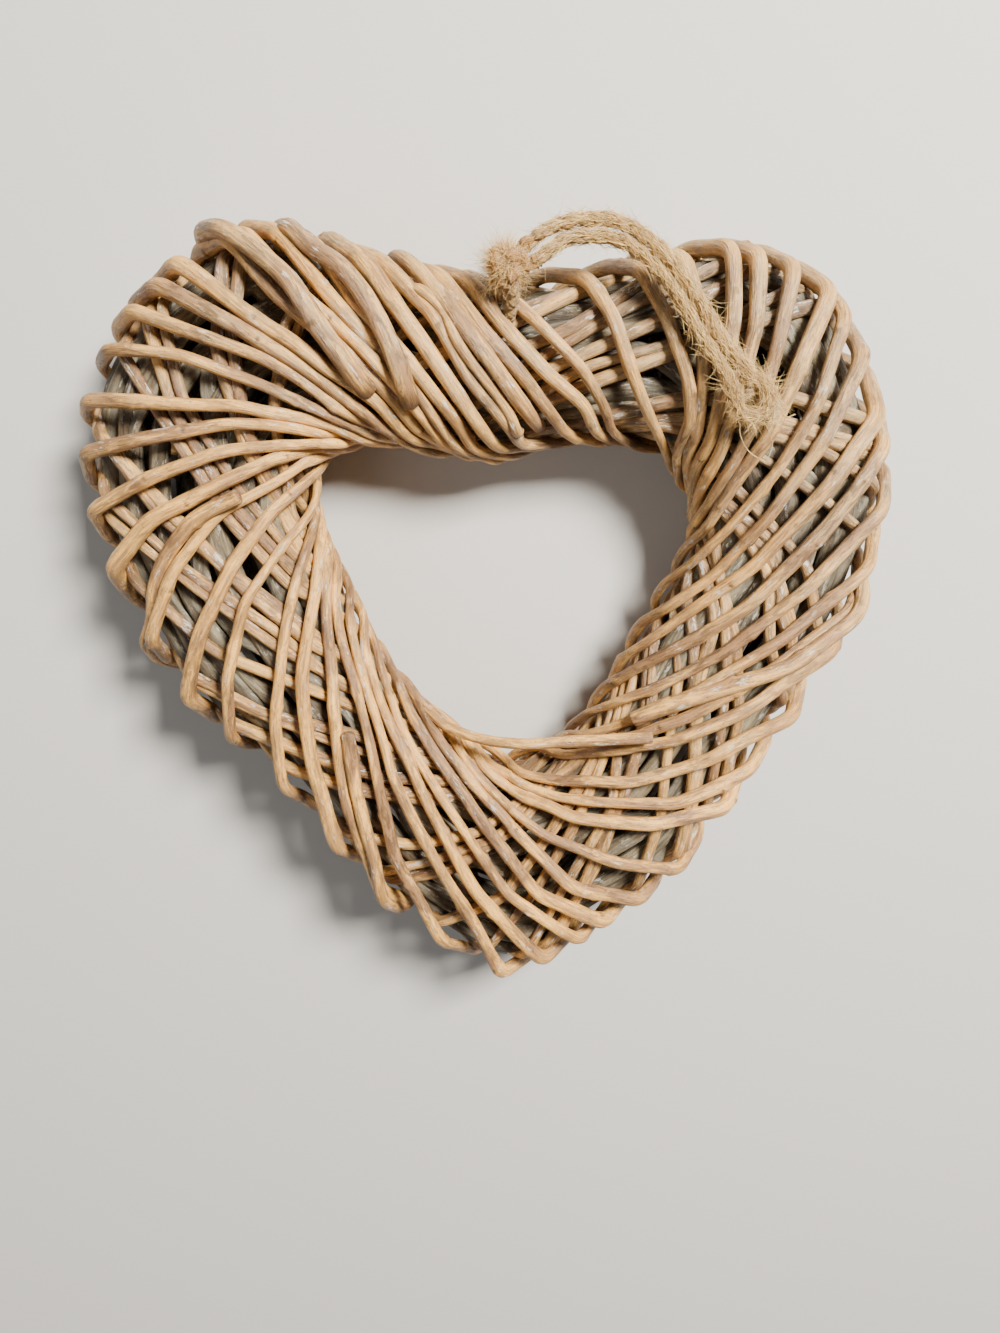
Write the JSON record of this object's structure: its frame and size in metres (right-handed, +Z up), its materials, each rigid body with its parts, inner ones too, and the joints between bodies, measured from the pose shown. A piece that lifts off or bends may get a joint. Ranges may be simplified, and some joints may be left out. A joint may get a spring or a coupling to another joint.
{
  "type": "wicker heart decoration",
  "caption": "Heart-shaped ring of peeled willow rods wound in a steep spiral over a rod core, with a central opening and a knotted jute hanging loop.",
  "frame": {"origin": "under the middle of the wickerwork's box, on the surface that it lies on", "axes": "+Z up out of the front face, +Y towards the dip between the lobes, +X to the right seen from the front"},
  "size_m": [0.3442, 0.3364, 0.0758],
  "materials": {
    "peeled_willow": "peeled willow rods, satin, with a pale grey wash left in the grooves",
    "core_willow": "grey-washed rods and split willow, dull",
    "jute_twine": "hairy two-ply jute"
  },
  "bodies": {
    "root": {"core_bundle": "core_willow", "outer_rod_01_turn_1": "peeled_willow", "outer_rod_02_turn_1": "peeled_willow", "outer_rod_03_turn_1": "peeled_willow", "outer_rod_04_turn_1": "peeled_willow", "outer_rod_05_turn_1": "peeled_willow", "outer_rod_06_turn_1": "peeled_willow", "outer_rod_07_turn_1": "peeled_willow", "outer_rod_08_turn_1": "peeled_willow", "outer_rod_09_turn_1": "peeled_willow", "outer_rod_10_turn_1": "peeled_willow", "outer_rod_11_turn_1": "peeled_willow", "outer_rod_12_turn_1": "peeled_willow", "outer_rod_01_turn_2": "peeled_willow", "outer_rod_02_turn_2": "peeled_willow", "outer_rod_03_turn_2": "peeled_willow", "outer_rod_04_turn_2": "peeled_willow", "outer_rod_05_turn_2": "peeled_willow", "outer_rod_06_turn_2": "peeled_willow", "outer_rod_07_turn_2": "peeled_willow", "outer_rod_08_turn_2": "peeled_willow", "outer_rod_09_turn_2": "peeled_willow", "outer_rod_10_turn_2": "peeled_willow", "outer_rod_11_turn_2": "peeled_willow", "outer_rod_12_turn_2": "peeled_willow", "outer_rod_01_turn_3": "peeled_willow", "outer_rod_02_turn_3": "peeled_willow", "outer_rod_03_turn_3": "peeled_willow", "outer_rod_04_turn_3": "peeled_willow", "outer_rod_05_turn_3": "peeled_willow", "outer_rod_06_turn_3": "peeled_willow", "outer_rod_07_turn_3": "peeled_willow", "outer_rod_08_turn_3": "peeled_willow", "outer_rod_09_turn_3": "peeled_willow", "outer_rod_10_turn_3": "peeled_willow", "outer_rod_11_turn_3": "peeled_willow", "outer_rod_12_turn_3": "peeled_willow", "outer_rod_01_turn_4": "peeled_willow", "outer_rod_02_turn_4": "peeled_willow", "outer_rod_03_turn_4": "peeled_willow", "outer_rod_04_turn_4": "peeled_willow", "outer_rod_05_turn_4": "peeled_willow", "outer_rod_06_turn_4": "peeled_willow", "outer_rod_07_turn_4": "peeled_willow", "outer_rod_08_turn_4": "peeled_willow", "outer_rod_09_turn_4": "peeled_willow", "outer_rod_10_turn_4": "peeled_willow", "outer_rod_11_turn_4": "peeled_willow", "outer_rod_12_turn_4": "peeled_willow", "hanger_knot": "jute_twine", "hanger_loop": "jute_twine"}
  },
  "joints": []
}
